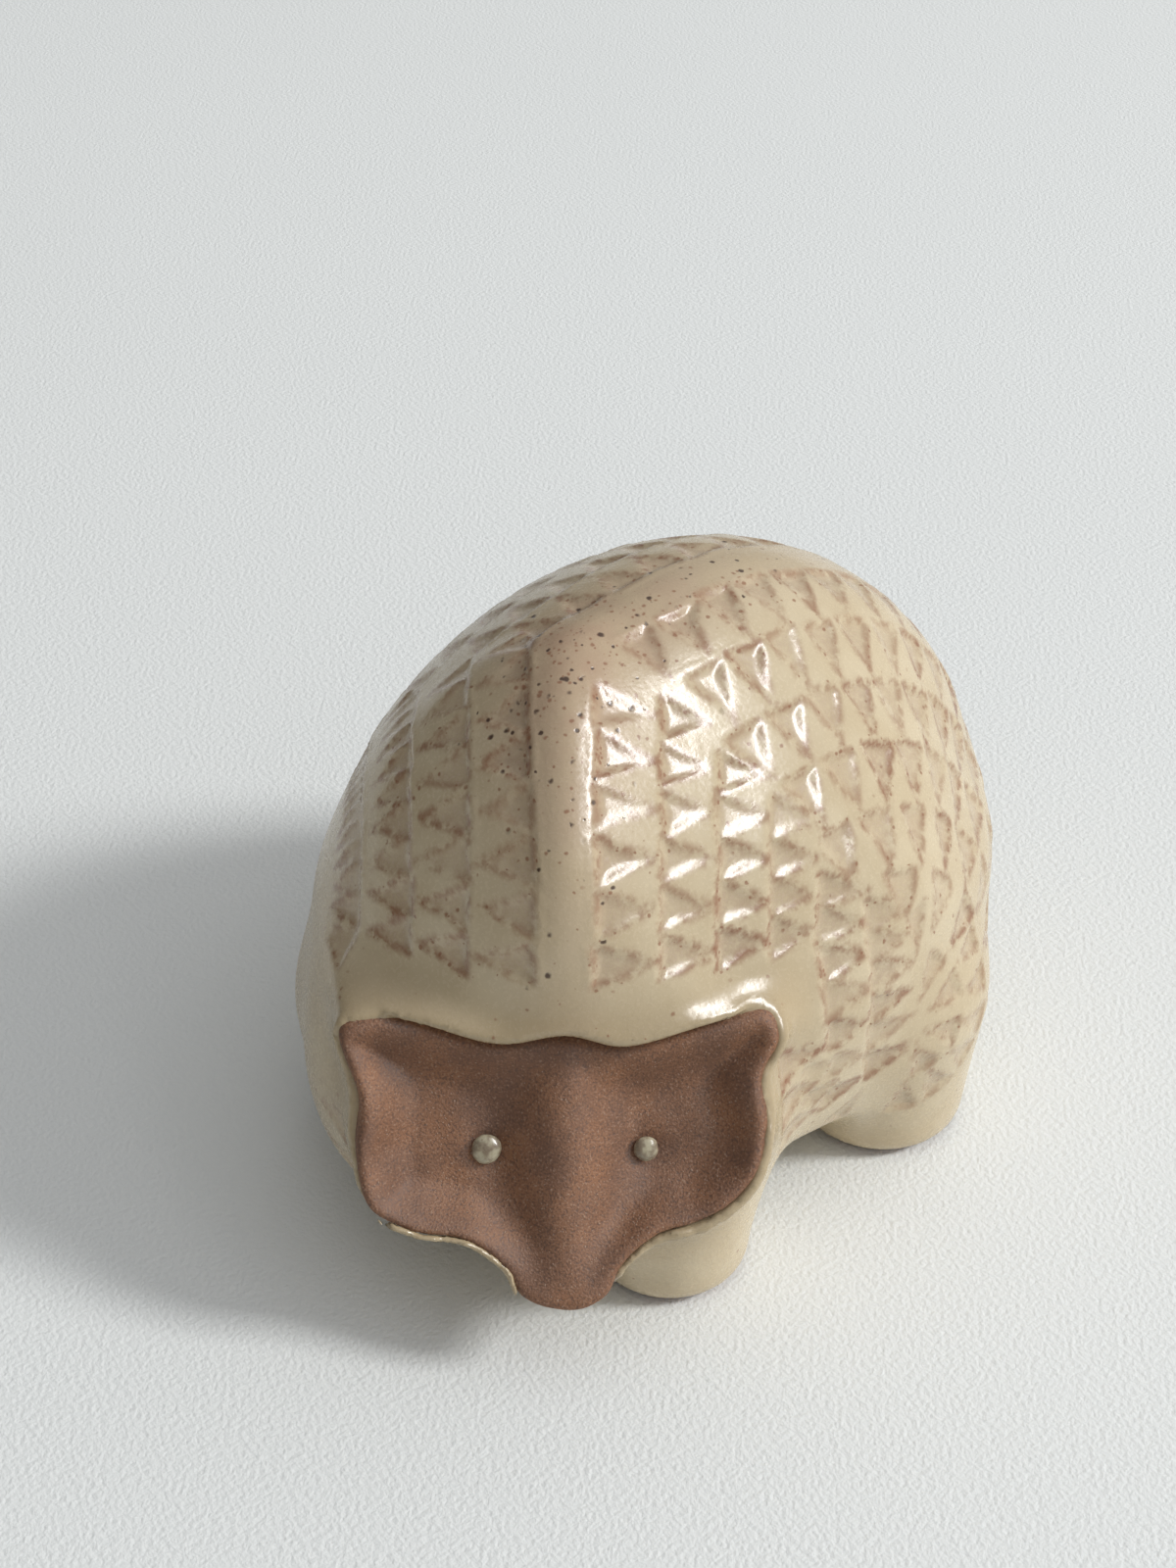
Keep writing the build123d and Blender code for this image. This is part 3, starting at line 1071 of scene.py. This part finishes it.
@dataclass
class StampTool:
    """Corner of a tool that is pressed into the soft clay in rows.

    Depth and rib are in metres, softness, runs and the stain's width in millimetres, and the rest
    are shares of a triangle.
    """

    depth: float = 0.0009
    rib: float = 0.00016
    soft: float = 1.0
    side_run: float = 3.45
    base_run: float = 9.6
    shallow: float = 0.15
    line_place: float = 0.09
    line_width: float = 0.11
    stain_width: float = 1.25

    def tree(self, material: bpy.types.Material) -> bpy.types.GeometryNodeTree:
        """Geometry tree that presses the triangles into a surface.

        Args:
            material: Finish of the pressed surface.

        Returns:
            Tree with named inputs for depth, rib and softness of the edge.
        """
        tree = bpy.data.node_groups.new("Pressed triangles", "GeometryNodeTree")
        face = tree.interface
        face.new_socket("Geometry", in_out="INPUT", socket_type="NodeSocketGeometry")
        for name in ("Depth", "Rib", "Soft edge"):
            face.new_socket(name, in_out="INPUT", socket_type="NodeSocketFloat")
        face.new_socket("Geometry", in_out="OUTPUT", socket_type="NodeSocketGeometry")
        w = Wiring(tree)
        source = w.add("NodeGroupInput").outputs
        read = []
        for mark in (Mark.ACROSS, Mark.ALONG, Mark.FADE):
            node = w.add("GeometryNodeInputNamedAttribute", {"Name": mark.value}, data_type="FLOAT")
            read.append(node.outputs[0])
        across, along, fade = read
        away = w.calc("ABSOLUTE", along)
        taper = w.calc("SUBTRACT", w.calc("SUBTRACT", 1.0, across), away)
        gap = w.calc("MINIMUM", w.times(taper, self.side_run), w.times(across, self.base_run))
        soft = source["Soft edge"]
        inside = w.step(gap, w.times(soft, -0.6), w.times(soft, 1.4))
        floor = w.times(inside, fade)
        fall = w.calc("SUBTRACT", 1.0, across, clamp=True)
        fall = w.calc("MULTIPLY_ADD", fall, 1.0 - self.shallow, self.shallow)
        press = w.times(w.times(floor, fall), w.times(source["Depth"], -1.0))
        line = w.calc("ABSOLUTE", w.calc("ADD", across, self.line_place))
        line = w.step(line, self.line_width, 0.0)
        line = w.times(line, w.step(away, 1.25, 0.9))
        rise = w.times(w.times(line, fade), source["Rib"])
        edge = w.step(w.calc("ABSOLUTE", gap), self.stain_width, 0.0)
        edge = w.times(edge, w.step(away, 1.2, 1.0))
        point = w.step(w.calc("ABSOLUTE", w.calc("SUBTRACT", across, 0.97)), 0.16, 0.04)
        point = w.times(point, w.step(away, 0.32, 0.1))
        stain = w.times(inside, w.step(across, 0.2, 0.9, 0.10, 0.45))
        iron = w.times(w.calc("MAXIMUM", w.calc("MAXIMUM", edge, point), stain), fade)
        move = w.add("ShaderNodeVectorMath", operation="SCALE")
        w.put(move.inputs[0], w.add("GeometryNodeInputNormal").outputs[0])
        w.put(move.inputs["Scale"], w.calc("ADD", press, rise))
        flow = source["Geometry"]
        for mark, value in ((Mark.FLOOR, floor), (Mark.IRON, iron)):
            store = w.add("GeometryNodeStoreNamedAttribute", {"Geometry": flow, "Name": mark.value})
            store.data_type = "FLOAT"
            w.put(store.inputs["Value"], value)
            flow = store.outputs[0]
        flow = w.add("GeometryNodeSetPosition", {"Geometry": flow, "Offset": move.outputs[0]}).outputs[0]
        flow = w.add("GeometryNodeRealizeInstances", {"Geometry": flow}).outputs[0]
        flow = w.add("GeometryNodeSetMaterial", {"Geometry": flow, "Material": material}).outputs[0]
        w.put(w.add("NodeGroupOutput").inputs[0], flow)
        return tree

    def press(self, piece: bpy.types.Object, material: bpy.types.Material) -> None:
        """Presses the rows into a piece and leaves it a plain mesh.

        Args:
            piece: Piece whose points carry their places in the triangles.
            material: Finish of the piece.
        """
        tree = self.tree(material)
        tool = piece.modifiers.new("Pressed triangles", "NODES")
        tool.node_group = tree
        wanted = {"Depth": self.depth, "Rib": self.rib, "Soft edge": self.soft}
        for item in tree.interface.items_tree:
            if item.in_out == "INPUT" and item.name in wanted:
                tool[item.identifier] = wanted[item.name]
        bpy.context.view_layer.update()
        depsgraph = bpy.context.evaluated_depsgraph_get()
        done = bpy.data.meshes.new_from_object(piece.evaluated_get(depsgraph))
        piece.modifiers.remove(tool)
        old = piece.data
        done.name = old.name
        piece.data = done
        bpy.data.meshes.remove(old)


def speckle_group() -> bpy.types.NodeTree:
    """Shared effect: round specks of uneven size, thinned out by a density.

    Returns:
        Group with the place, scale, size and density of the specks as inputs and their mask as output.
    """
    tree = bpy.data.node_groups.new("Specks", "ShaderNodeTree")
    for name, kind in (("Place", "Vector"), ("Scale", "Float"), ("Size", "Float"), ("Density", "Float")):
        tree.interface.new_socket(name, in_out="INPUT", socket_type=f"NodeSocket{kind}")
    tree.interface.new_socket("Mask", in_out="OUTPUT", socket_type="NodeSocketFloat")
    w = Wiring(tree)
    source = w.add("NodeGroupInput").outputs
    warp = w.add("ShaderNodeTexNoise", {"Vector": source["Place"], "Scale": 900.0, "Detail": 1.0})
    wide = (0.0006, 0.0006, 0.0006)
    bent = {0: warp.outputs["Color"], 1: wide, 2: source["Place"]}
    shake = w.add("ShaderNodeVectorMath", bent, operation="MULTIPLY_ADD")
    cells = w.add("ShaderNodeTexVoronoi", {"Vector": shake.outputs[0], "Scale": source["Scale"]})
    tint = w.add("ShaderNodeSeparateColor", {0: cells.outputs["Color"]}).outputs
    reach = w.times(source["Size"], w.calc("MULTIPLY_ADD", tint[0], 0.7, 0.3))
    dot = w.step(cells.outputs["Distance"], reach, w.times(reach, 0.45))
    kept = w.step(w.calc("SUBTRACT", source["Density"], tint[1]), -0.02, 0.04)
    w.put(w.add("NodeGroupOutput").inputs[0], w.times(dot, kept))
    return tree


def grain_group() -> bpy.types.NodeTree:
    """Shared effect: fine and broad mottling of fired clay and glaze.

    Returns:
        Group with the place and two scales as inputs and two values as outputs.
    """
    tree = bpy.data.node_groups.new("Mottle", "ShaderNodeTree")
    for name, kind in (("Place", "Vector"), ("Fine", "Float"), ("Broad", "Float")):
        tree.interface.new_socket(name, in_out="INPUT", socket_type=f"NodeSocket{kind}")
    for name in ("Fine", "Broad"):
        tree.interface.new_socket(name, in_out="OUTPUT", socket_type="NodeSocketFloat")
    w = Wiring(tree)
    source = w.add("NodeGroupInput").outputs
    target = w.add("NodeGroupOutput").inputs
    for number, (name, detail) in enumerate((("Fine", 4.0), ("Broad", 3.0))):
        w.put(target[number], w.noise(source["Place"], source[name], detail))
    return tree


@dataclass(frozen=True)
class Finish:
    """What every finish shares: its name, the effects it is made with, grain, roughness and bump."""

    name: str
    specks: bpy.types.NodeTree
    mottle: bpy.types.NodeTree
    fine: float = 1000.0
    broad: float = 100.0
    rough: tuple = (0.3, 0.6)
    bump: tuple = (0.3, 0.0003)

    def start(self) -> tuple[bpy.types.Material, Wiring, bpy.types.NodeSocket, Any]:
        """Begins a material.

        Returns:
            The material, its wiring, object coordinates and the outputs of its mottling.
        """
        material = bpy.data.materials.new(self.name)
        material.use_nodes = True
        w = Wiring(material.node_tree)
        place = w.add("ShaderNodeTexCoord").outputs["Object"]
        node = w.add("ShaderNodeGroup", node_tree=self.mottle)
        for name, value in (("Place", place), ("Fine", self.fine), ("Broad", self.broad)):
            w.put(node.inputs[name], value)
        return material, w, place, node.outputs

    def dots(self, w: Wiring, place: Any, scale: float, size: float, density: Any) -> bpy.types.NodeSocket:
        """Mask of specks.

        Args:
            w: Wiring of the material.
            place: Coordinates.
            scale: Cells in a metre.
            size: Share of a cell that a speck fills.
            density: Share of the cells that have a speck.

        Returns:
            The mask.
        """
        node = w.add("ShaderNodeGroup", node_tree=self.specks)
        for name, value in (("Place", place), ("Scale", scale), ("Size", size), ("Density", density)):
            w.put(node.inputs[name], value)
        return node.outputs["Mask"]

    def surface(self, w: Wiring, grain: Any, colour: Any, height: Any) -> None:
        """Gives the shader its colour, roughness and bump.

        Args:
            w: Wiring of the material.
            grain: Fine mottling, which the roughness follows.
            colour: Colour of the surface.
            height: Height of the bump.
        """
        shader = next(n for n in w.tree.nodes if n.type == "BSDF_PRINCIPLED")
        strength, distance = self.bump
        bump = w.add("ShaderNodeBump", {"Height": height, "Strength": strength, "Distance": distance})
        w.put(shader.inputs["Base Color"], colour)
        w.put(shader.inputs["Roughness"], w.step(grain, 0.2, 0.8, *self.rough))
        w.put(shader.inputs["Normal"], bump.outputs[0])


@dataclass(frozen=True)
class GlazeFinish(Finish):
    """Satin cream glaze with iron specks, thin and brown on the pressed edges."""

    fine: float = 1500.0
    broad: float = 90.0
    rough: tuple = (0.20, 0.31)
    bump: tuple = (0.22, 0.0004)
    cream: tuple = (0.56, 0.455, 0.295, 1.0)
    pale: tuple = (0.61, 0.51, 0.345, 1.0)
    brow_darker: tuple = (0.41, 0.315, 0.185, 1.0)
    grey: tuple = (0.46, 0.345, 0.235, 1.0)
    blush: tuple = (0.40, 0.255, 0.165, 1.0)
    iron: tuple = (0.27, 0.125, 0.065, 1.0)
    dark: tuple = (0.055, 0.026, 0.016, 1.0)

    def build(self) -> bpy.types.Material:
        """Mixes the glaze from its broad tones, a darker tone round the face, pressed floors, crest, brown
        edges and specks.

        Returns:
            The material.
        """
        material, w, place, mottle = self.start()
        floor, iron, crest = (w.value_of(m) for m in (Mark.FLOOR, Mark.IRON, Mark.CREST))
        colour = w.mix(w.step(mottle["Broad"], 0.35, 0.68), self.cream, self.pale)
        # Darker, browner tone in a band round the edge of the bare face, fading away from it.
        colour = w.mix(w.times(w.value_of(Mark.BROW), 0.75), colour, self.brow_darker)
        hollow = w.times(floor, w.step(mottle["Fine"], 0.35, 0.62, 0.15, 0.65))
        colour = w.mix(hollow, colour, self.grey)
        flush = w.times(crest, w.step(mottle["Broad"], 0.3, 0.7, 0.35, 0.95))
        colour = w.mix(flush, colour, self.blush)
        edge = w.times(iron, w.step(w.noise(place, 420.0, 3.0, 0.6), 0.36, 0.60))
        colour = w.mix(w.times(edge, 0.88), colour, self.iron)
        spread = w.calc("MULTIPLY_ADD", iron, 0.45, w.calc("MULTIPLY_ADD", crest, 0.85, 0.04))
        small = self.dots(w, place, 800.0, 0.45, spread)
        colour = w.mix(w.times(small, 0.8), colour, self.iron)
        large = self.dots(w, place, 480.0, 0.38, w.calc("MULTIPLY_ADD", crest, 0.85, 0.02))
        colour = w.mix(w.times(large, 0.92), colour, self.dark)
        height = w.calc("MULTIPLY_ADD", large, -0.5, w.times(mottle["Fine"], 0.35))
        height = w.calc("MULTIPLY_ADD", w.noise(place, 260.0, 2.0), 0.9, height)
        self.surface(w, mottle["Fine"], colour, height)
        return material


@dataclass(frozen=True)
class ClayFinish(Finish):
    """Bare dark stoneware with fine grain and pale grog."""

    fine: float = 2600.0
    broad: float = 110.0
    rough: tuple = (0.52, 0.72)
    bump: tuple = (0.5, 0.0003)
    brown: tuple = (0.185, 0.085, 0.043, 1.0)
    warm: tuple = (0.285, 0.128, 0.058, 1.0)
    deep: tuple = (0.090, 0.046, 0.030, 1.0)
    grog: tuple = (0.48, 0.34, 0.25, 1.0)

    def build(self) -> bpy.types.Material:
        """Mixes the clay from two browns, dark and pale grain, and grit.

        Returns:
            The material.
        """
        material, w, place, mottle = self.start()
        colour = w.mix(w.step(mottle["Broad"], 0.3, 0.7), self.brown, self.warm)
        colour = w.mix(w.step(mottle["Fine"], 0.52, 0.32, 0.0, 0.75), colour, self.deep)
        colour = w.mix(w.step(mottle["Fine"], 0.54, 0.74, 0.0, 0.42), colour, self.grog)
        grit = self.dots(w, place, 2300.0, 0.5, w.step(mottle["Broad"], 0.36, 0.70, 0.04, 0.5))
        colour = w.mix(w.times(grit, 0.5), colour, self.grog)
        self.surface(w, mottle["Fine"], colour, w.calc("MULTIPLY_ADD", grit, 0.6, mottle["Fine"]))
        return material


@dataclass(frozen=True)
class BeadFinish(Finish):
    """Beads of grey-cream glaze with brown mottling."""

    fine: float = 1800.0
    broad: float = 520.0
    rough: tuple = (0.20, 0.34)
    pale: tuple = (0.46, 0.41, 0.285, 1.0)
    brown: tuple = (0.24, 0.185, 0.125, 1.0)

    def build(self) -> bpy.types.Material:
        """Mixes the beads' glaze.

        Returns:
            The material.
        """
        material, w, place, mottle = self.start()
        colour = w.mix(w.step(mottle["Broad"], 0.42, 0.62), self.pale, self.brown)
        specks = self.dots(w, place, 900.0, 0.4, 0.25)
        colour = w.mix(w.times(specks, 0.6), colour, self.brown)
        self.surface(w, mottle["Fine"], colour, mottle["Broad"])
        return material


@dataclass(frozen=True)
class PaperFinish(Finish):
    """Pale grained floor."""

    broad: float = 6.0
    rough: tuple = (0.65, 0.8)
    bump: tuple = (0.45, 0.0007)
    pale: tuple = (0.84, 0.86, 0.845, 1.0)
    dull: tuple = (0.82, 0.84, 0.825, 1.0)

    def build(self) -> bpy.types.Material:
        """Mixes the floor's two tones.

        Returns:
            The material.
        """
        material, w, _, mottle = self.start()
        colour = w.mix(mottle["Broad"], self.pale, self.dull)
        self.surface(w, mottle["Fine"], colour, mottle["Fine"])
        return material


@dataclass
class GlazedBody:
    """Glazed body and legs in one skin, with the pressed rows."""

    form: Form
    shift: np.ndarray
    voxel: float = 0.9
    rows: StampRows = field(default_factory=StampRows)
    tool: StampTool = field(default_factory=StampTool)

    def build(self, glaze: bpy.types.Material) -> bpy.types.Object:
        """Makes the glazed skin.

        Args:
            glaze: Its finish.

        Returns:
            The piece.
        """
        skin = Skin(self.form.glazed, self.form.low, self.form.high, self.voxel)
        piece = skin.mesh("glazed_body", self.shift)
        for mark, values in self.rows.lay_out(skin.points, self.form).items():
            carry(piece, mark, values)
        self.tool.press(piece, glaze)
        return dress(piece, glaze, Slot.GLAZE, "glaze_coat")


@dataclass
class BareFace:
    """Bare clay of the face."""

    form: Form
    shift: np.ndarray
    voxel: float = 0.6
    margin: float = 12.0

    def build(self, clay: bpy.types.Material) -> bpy.types.Object:
        """Makes the plate of the face.

        Args:
            clay: Its finish.

        Returns:
            The piece.
        """
        face = self.form.face
        feet = [face.nose + face.aside * a for a in (-face.right, face.left)]
        ends = [foot + face.up * b for foot in feet for b in (0.0, face.height)]
        low, high = np.min(ends, 0) - self.margin, np.max(ends, 0) + self.margin
        piece = Skin(self.form.bare, tuple(low), tuple(high), self.voxel).mesh("bare_face", self.shift)
        return dress(piece, clay, Slot.CLAY, "left_half_shell", "right_half_shell")


@dataclass
class EyeBeads:
    """Two beads of glaze, each a little uneven. Millimetres."""

    form: Form
    shift: np.ndarray
    voxel: float = 0.28
    clear: float = 1.0
    flat: float = 0.45
    uneven: tuple = (0.12, 4.5, 21)
    unlike: float = 9.0
    shares: tuple = (("left_eye", 1, 0.80), ("right_eye", -1, 0.98))

    def bead(self, p: np.ndarray, side: int, radius: float) -> np.ndarray:
        """Distance to one bead, flattened towards the face.

        Args:
            p: Places, one row each.
            side: 1 for the left eye, -1 for the right.
            radius: Radius of the bead along the face.

        Returns:
            Distance at each place, below zero inside.
        """
        away = p - self.form.eye_place(side)
        rise = away @ self.form.face.out
        flat = np.sqrt(np.sum(away**2, axis=1) + rise**2 * (1.0 / self.flat**2 - 1.0))
        high, length, seed = self.uneven
        return flat - radius + high * waves(p + side * self.unlike, length, seed)

    def build(self, glaze: bpy.types.Material) -> list[bpy.types.Object]:
        """Makes both beads.

        Args:
            glaze: Their finish.

        Returns:
            The two pieces.
        """
        made = []
        for node, side, share in self.shares:
            middle, radius = self.form.eye_place(side), self.form.eye_radius * share
            reach = radius + self.clear
            bead = partial(self.bead, side=side, radius=radius)
            skin = Skin(bead, tuple(middle - reach), tuple(middle + reach), self.voxel)
            piece = skin.mesh(f"{node}_bead", self.shift)
            made.append(dress(piece, glaze, Slot.EYE, node))
        return made


@dataclass
class BareSoles:
    """Rounded feet of bare clay, which stand for the legs under the glaze. Millimetres."""

    form: Form
    shift: np.ndarray
    voxel: float = 0.7
    clear: float = 5.0
    low: float = -2.1
    high: float = 11.0
    legs: tuple = ("front_left_leg", "front_right_leg", "rear_left_leg", "rear_right_leg")

    def build(self, clay: bpy.types.Material) -> list[bpy.types.Object]:
        """Makes the four feet.

        Args:
            clay: Their finish.

        Returns:
            The four pieces.
        """
        made = []
        for number, (node, (x, y, radius)) in enumerate(zip(self.legs, self.form.legs.places)):
            reach = radius + self.clear
            low, high = (x - reach, y - reach, self.low), (x + reach, y + reach, self.high)
            foot = partial(self.form.sole, leg=number)
            piece = Skin(foot, low, high, self.voxel).mesh(node.replace("_leg", "_sole"), self.shift)
            made.append(dress(piece, clay, Slot.CLAY, node))
        return made


@dataclass(frozen=True)
class Lamp:
    """Large soft lamp. Ways are parts to the picture's right, to the camera and up; metres and watts."""

    name: str
    way: tuple
    distance: float
    size: tuple
    power: float


@dataclass
class Studio:
    """Floor, soft light and camera. Lengths in metres."""

    form: Form
    shift: np.ndarray
    camera_back: float = 0.3692
    camera_side: float = -0.0158
    camera_height: float = 0.347
    pitch: float = 38.0
    lens: float = 60.75
    sensor: float = 36.0
    window: Lamp = Lamp("window", (0.82, 0.08, 0.57), 5.0, (1.0, 1.0), 168.0)
    strip: Lamp = Lamp("strip", (0.55, 0.27, 0.79), 3.0, (0.34, 2.2), 125.0)
    strip_lie: tuple = (0.11, 0.79, -0.38)
    aim: tuple = (0.0, 0.0, 0.05)
    sky_way: tuple = (0.66, 0.05, 0.75)
    sky_run: tuple = (-0.3, 0.95)
    sky_light: tuple = (0.06, 0.70)
    sky_colour: tuple = (0.97, 0.98, 1.0, 1.0)
    backdrop: float = 0.66
    floor_reach: float = 4.0

    def way(self, aside: float, ahead: float, up: float) -> Vector:
        """Direction from its parts to the picture's right, to the camera and up."""
        face = self.form.face
        return Vector(face.aside * aside + face.ahead * ahead + UP * up).normalized()

    def camera(self) -> None:
        """Sets the camera at the height and pitch that the view needs."""
        face = self.form.face
        data = bpy.data.cameras.new("camera")
        data.lens, data.sensor_width = self.lens, self.sensor
        camera = bpy.data.objects.new("camera", data)
        bpy.context.scene.collection.objects.link(camera)
        place = face.ahead * self.camera_back + face.aside * self.camera_side + self.shift * MM
        camera.location = (place[0], place[1], self.camera_height)
        pitch = math.radians(self.pitch)
        look = Vector(-face.ahead * math.cos(pitch)) - Vector((0.0, 0.0, math.sin(pitch)))
        camera.rotation_euler = look.to_track_quat("-Z", "Y").to_euler()
        bpy.context.scene.camera = camera

    def hang(self, lamp: Lamp) -> bpy.types.Object:
        """Hangs a lamp so that it faces the object.

        Args:
            lamp: The lamp.

        Returns:
            Its object.
        """
        data = bpy.data.lights.new(lamp.name, "AREA")
        data.shape, data.energy = "RECTANGLE", lamp.power
        data.size, data.size_y = lamp.size
        made = bpy.data.objects.new(lamp.name, data)
        bpy.context.scene.collection.objects.link(made)
        way = self.way(*lamp.way)
        made.location = way * lamp.distance + Vector(self.aim)
        made.rotation_euler = (-way).to_track_quat("-Z", "Y").to_euler()
        return made

    def lamps(self) -> None:
        """Hangs the window, which lights, and the strip, which the glaze mirrors."""
        self.hang(self.window).visible_glossy = False
        strip = self.hang(self.strip)
        strip.visible_diffuse = False
        way, tall = self.way(*self.strip.way), self.way(*self.strip_lie)
        tall = (tall - way * tall.dot(way)).normalized()
        strip.rotation_euler = Matrix((tall.cross(way), tall, way)).transposed().to_euler()

    def sky(self) -> None:
        """Makes a sky that is brighter on one side, with an even backdrop behind the floor."""
        world = bpy.data.worlds.new("sky")
        world.use_nodes = True
        w = Wiring(world.node_tree)
        sky = next(n for n in w.tree.nodes if n.type == "BACKGROUND")
        sky.inputs["Color"].default_value = self.sky_colour
        turn = w.add("ShaderNodeVectorMath", operation="DOT_PRODUCT")
        w.put(turn.inputs[0], w.add("ShaderNodeTexCoord").outputs["Generated"])
        w.put(turn.inputs[1], self.way(*self.sky_way))
        light = w.step(turn.outputs["Value"], *self.sky_run, *self.sky_light)
        seen = w.add("ShaderNodeLightPath").outputs["Is Camera Ray"]
        shown = w.add("ShaderNodeMix", {0: seen, 2: light, 3: self.backdrop})
        w.put(sky.inputs["Strength"], shown.outputs[0])
        bpy.context.scene.world = world

    def floor(self, paper: bpy.types.Material) -> None:
        """Lays the floor.

        Args:
            paper: Its finish.
        """
        reach = self.floor_reach
        corners = [(-reach, -reach, 0), (reach, -reach, 0), (reach, reach, 0), (-reach, reach, 0)]
        data = bpy.data.meshes.new("floor")
        data.from_pydata(corners, [], [(0, 1, 2, 3)])
        data.materials.append(paper)
        floor = bpy.data.objects.new("floor", data)
        bpy.context.scene.collection.objects.link(floor)

    def build(self, paper: bpy.types.Material) -> None:
        """Sets up floor, lamps, sky and camera.

        Args:
            paper: Finish of the floor.
        """
        self.floor(paper)
        self.lamps()
        self.sky()
        self.camera()


def main() -> None:
    """Builds the figurine and its studio, and reports each piece."""
    logging.basicConfig(level=logging.INFO, format="%(name)s: %(message)s")
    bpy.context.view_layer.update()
    bpy.context.scene.view_settings.view_transform = "Standard"
    form = Form()
    low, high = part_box("left_eye")
    shift = np.array((low + high) / 2) / MM - form.eye_place(1)
    shift[2] = 0.0
    LOG.info("maker's frame moved by %s mm", shift.round(3))
    specks, mottle = speckle_group(), grain_group()
    glaze = GlazeFinish("cream glaze", specks, mottle).build()
    clay = ClayFinish("bare stoneware", specks, mottle).build()
    bead = BeadFinish("bead glaze", specks, mottle).build()
    paper = PaperFinish("pale paper", specks, mottle).build()
    pieces = [GlazedBody(form, shift).build(glaze), BareFace(form, shift).build(clay)]
    pieces += EyeBeads(form, shift).build(bead)
    pieces += BareSoles(form, shift).build(clay)
    Studio(form, shift).build(paper)
    for piece in pieces:
        LOG.info("%s: %d faces", piece.name, len(piece.data.polygons))
    bpy.context.view_layer.update()


if __name__ == "__main__":
    main()
